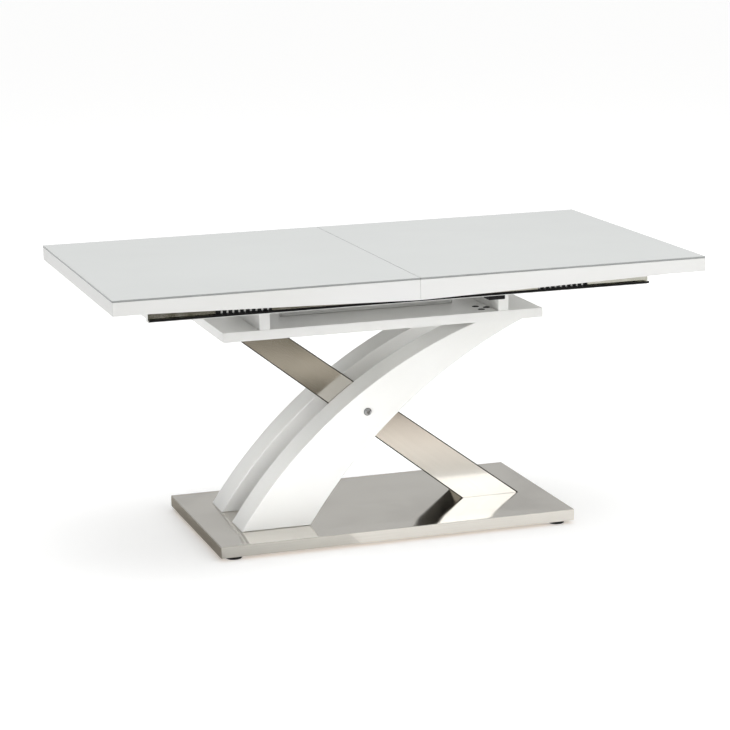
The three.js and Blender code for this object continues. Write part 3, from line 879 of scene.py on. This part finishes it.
# studio: pale paper on the floor, a big soft box overhead, one in front, two low strips near the base
studioLook = {
    "floor": "#F4F4F4", "floorSize": 90, "glowNear": 0.35, "glowFar": 0.7, "glowFrom": 1.5, "glowTo": 4,
    "surround": "#F2F2F1", "darkSide": 0.06, "brightSide": 0.66, "brightFrom": (0.75, 0.45, 0),
    "brightSpan": (-0.7, 0.45), "backdrop": 1.05, "cardGlow": "#F4F8FF",
    "lights": {
        "overhead": {"place": (0.2, 0.2, 4.6), "aim": (0, 0, 0.4), "size": (5, 4), "power": 170},
        "frontBox": {"place": (2.0, -5.6, 3.2), "aim": (0, 0, 0.5), "size": (4.5, 2.4), "power": 116},
        "lowLeft": {"place": (-0.98, -0.42, 0.14), "aim": (0, 0, 0.3), "size": (0.9, 0.16), "power": 1.0,
                    "spread": 0.95},
        "lowFront": {"place": (-0.25, -1.2, 0.2), "aim": (-0.2, 0, 0.1), "size": (1.5, 0.1), "power": 0.7,
                     "spread": 1.15},
    },
}


def stagePlane(name, size, place, turn, finish):
    bm = bmesh.new()
    verts = bmesh.ops.create_grid(bm, x_segments=1, y_segments=1, size=0.5)["verts"]
    bmesh.ops.scale(bm, vec=(*size, 1), verts=verts)
    bmesh.ops.rotate(bm, matrix=Euler(turn).to_matrix(), verts=verts)
    bmesh.ops.translate(bm, vec=place, verts=verts)
    mesh = bpy.data.meshes.new(name)
    bm.to_mesh(mesh)
    bm.free()
    mesh.materials.append(finish)
    plane = bpy.data.objects.new(name, mesh)
    scene.collection.objects.link(plane)
    return plane


# the paper glows, weaker near the table and stronger far off: painted light that fills the table from
# below and keeps the far floor white
paper, tree, (spread,) = startFinish(
    "matPaperSweep", {"Base Color": linear(studioLook["floor"]), "Roughness": 0.9,
                      "Specular IOR Level": 0.1, "Emission Color": linear(studioLook["floor"])},
    [(1, 1, 1)])
away = addNode(tree, "ShaderNodeVectorMath", {"operation": "LENGTH"})
tree.links.new(spread, away.inputs[0])
glow = addNode(tree, "ShaderNodeMapRange",
               {"interpolation_type": "SMOOTHSTEP", "From Min": studioLook["glowFrom"],
                "From Max": studioLook["glowTo"], "To Min": studioLook["glowNear"],
                "To Max": studioLook["glowFar"]}, {"Value": away.outputs["Value"]})
feed(tree, "Emission Strength", glow.outputs["Result"])
stagePlane("studioFloor", (studioLook["floorSize"],) * 2, (0, 0, 0), (0, 0, 0), paper)

# cards that only the polished metal sees: painted reflections, their tones and glow set the highlights
# and the dark and warm patches mirrored in the steel, the slides and the base; tones run along one axis
cards = {
    # a glowing card: a painted highlight in the metal
    "frontCard": {"place": (2.6, -6.2, 1.65), "turn": (math.pi / 2, 0, 0), "size": (1.7, 1.2),
                  "axis": 2, "run": (1, 2), "tones": [(0, "#FAFCFF"), (1, "#FAFCFF")], "cloud": 0,
                  "glow": 1.3},
    # dark cards behind and on the right: painted dark reflections
    "backFlag": {"place": (1.5, 7, 3.65), "turn": (math.pi / 2, 0, 0), "size": (14, 2.4),
                 "axis": 2, "run": (2, 5), "tones": [(0, "#0C0B0A"), (1, "#0C0B0A")], "cloud": 0},
    "rightFlag": {"place": (5, 1, 1.7), "turn": (0, math.pi / 2, 0), "size": (3.4, 7),
                  "axis": 2, "run": (0, 3), "tones": [(0, "#3A3733"), (1, "#1A1917")], "cloud": 0},
    # painted reflection in the leg and the base: warm grey and dark bands, and the dark wedge
    "warmFloorCard": {"place": (0.6, -1.795, 0.004), "turn": (0, 0, 0), "size": (7, 2.71),
                      "axis": 1, "run": (-0.44, -3.14), "cloud": 0.06,
                      "tones": [(0, "#FFFDFA"), (0.16, "#F4EDE6"), (0.28, "#D6CEC7"), (0.345, "#7E776D"),
                                (0.42, "#4E4A40"), (0.6, "#CBC5B9"), (0.78, "#716C60")]},
    # painted reflection in the slides: their webs darker towards the left
    "slideCard": {"place": (1.1, -4, 0.004), "turn": (0, 0, 0), "size": (5, 1.68),
                  "axis": 0, "run": (0.1, 2.3), "cloud": 0.1,
                  "tones": [(0, "#4B473C"), (0.3, "#6E6A5F"), (0.65, "#CFCCC4"), (0.9, "#FFFFFF")]},
    # painted reflection in the base: darker along its left edge
    "cornerCard": {"place": (-0.42, -0.15, 0.003), "turn": (0, 0, 0), "size": (0.62, 1.4),
                   "axis": 0, "run": (-0.75, -0.11), "cloud": 0,
                   "tones": [(0, "#B5B0A8"), (0.37, "#BAB5AD"), (0.43, "#F2F3F3"), (0.85, "#FDFEFD"),
                             (1, "#FFFFFF")]},
}
for name, card in cards.items():
    cloth, tree, (whole, clouds) = startFinish(
        name + "Cloth", {"Roughness": 1, "Specular IOR Level": 0,
                         "Emission Color": linear(studioLook["cardGlow"]),
                         "Emission Strength": card.get("glow", 0)}, [(1, 1, 1), (0.5, 0.5, 0.5)])
    axes = addNode(tree, "ShaderNodeSeparateXYZ", links={"Vector": whole}).outputs
    along = addNode(tree, "ShaderNodeMapRange",
                    {"From Min": card["run"][0], "From Max": card["run"][1]},
                    {"Value": axes[card["axis"]]}).outputs["Result"]
    shift = addNode(tree, "ShaderNodeMath", {"operation": "SUBTRACT"})
    tree.links.new(blend(tree, noise(tree, clouds, 1), card["cloud"], along), shift.inputs[0])
    shift.inputs[1].default_value = card["cloud"] / 2
    tone = addNode(tree, "ShaderNodeValToRGB", links={"Fac": shift.outputs["Value"]}, stops=card["tones"])
    feed(tree, "Base Color", tone.outputs["Color"])
    plane = stagePlane(name, card["size"], card["place"], card["turn"], cloth)
    plane.visible_camera = False
    plane.visible_diffuse = False
    plane.visible_shadow = False

# the surround is brightest behind and on the right, so the left end and the underside stay darker
surround = bpy.data.worlds.new("studioSurround")
surround.use_nodes = True
tree = surround.node_tree
sky = tree.nodes["Background"]
sky.inputs["Color"].default_value = linear(studioLook["surround"])
facing = addNode(tree, "ShaderNodeVectorMath", {"operation": "DOT_PRODUCT"})
tree.links.new(addNode(tree, "ShaderNodeTexCoord").outputs["Generated"], facing.inputs[0])
facing.inputs[1].default_value = studioLook["brightFrom"]
dimming = addNode(tree, "ShaderNodeMapRange",
                  {"From Min": studioLook["brightSpan"][0], "From Max": studioLook["brightSpan"][1],
                   "To Min": studioLook["darkSide"], "To Max": studioLook["brightSide"]},
                  {"Value": facing.outputs["Value"]})
path = addNode(tree, "ShaderNodeLightPath").outputs
even = addNode(tree, "ShaderNodeMix", {"data_type": "FLOAT"})
tree.links.new(path["Is Glossy Ray"], even.inputs[0])
tree.links.new(dimming.outputs["Result"], even.inputs[2])
even.inputs[3].default_value = studioLook["brightSide"]  # polish mirrors an even room
plain = addNode(tree, "ShaderNodeMix", {"data_type": "FLOAT"})
tree.links.new(path["Is Camera Ray"], plain.inputs[0])
tree.links.new(even.outputs[0], plain.inputs[2])
plain.inputs[3].default_value = studioLook["backdrop"]  # plain and pale from every side
tree.links.new(plain.outputs[0], sky.inputs["Strength"])
scene.world = surround
for name, light in studioLook["lights"].items():
    lamp = bpy.data.lights.new(name, "AREA")
    lamp.shape = "RECTANGLE"
    lamp.size, lamp.size_y = light["size"]
    lamp.energy = light["power"]
    lamp.spread = light.get("spread", math.pi)
    holder = bpy.data.objects.new(name, lamp)
    holder.location = light["place"]
    aim = Vector(light["aim"]) - Vector(light["place"])
    holder.rotation_euler = aim.to_track_quat("-Z", "Y").to_euler()
    scene.collection.objects.link(holder)
    holder.visible_camera = False
    holder.visible_glossy = False  # no lamp shows as a white patch in the glass
scene.view_settings.view_transform = "Standard"
print("studio made")

# finishes of the nodes that keep their own shape
keptFinishes = {"lacquer": lacquer, "glass": paintedGlass, "board": fibreboard, "stainless": stainless,
                "slide_steel": zincSteel, "black_plastic": nylon, "chrome": chrome,
                "bolt_steel": blackOxide, "beech": beech}
for part in frame["record"]["subparts"]:
    node = frame["nodes"][part["node"]]
    if not node.hide_render:
        node.data.materials.clear()
        node.data.materials.append(keptFinishes[part["material_slot"]])

print("all pieces placed")
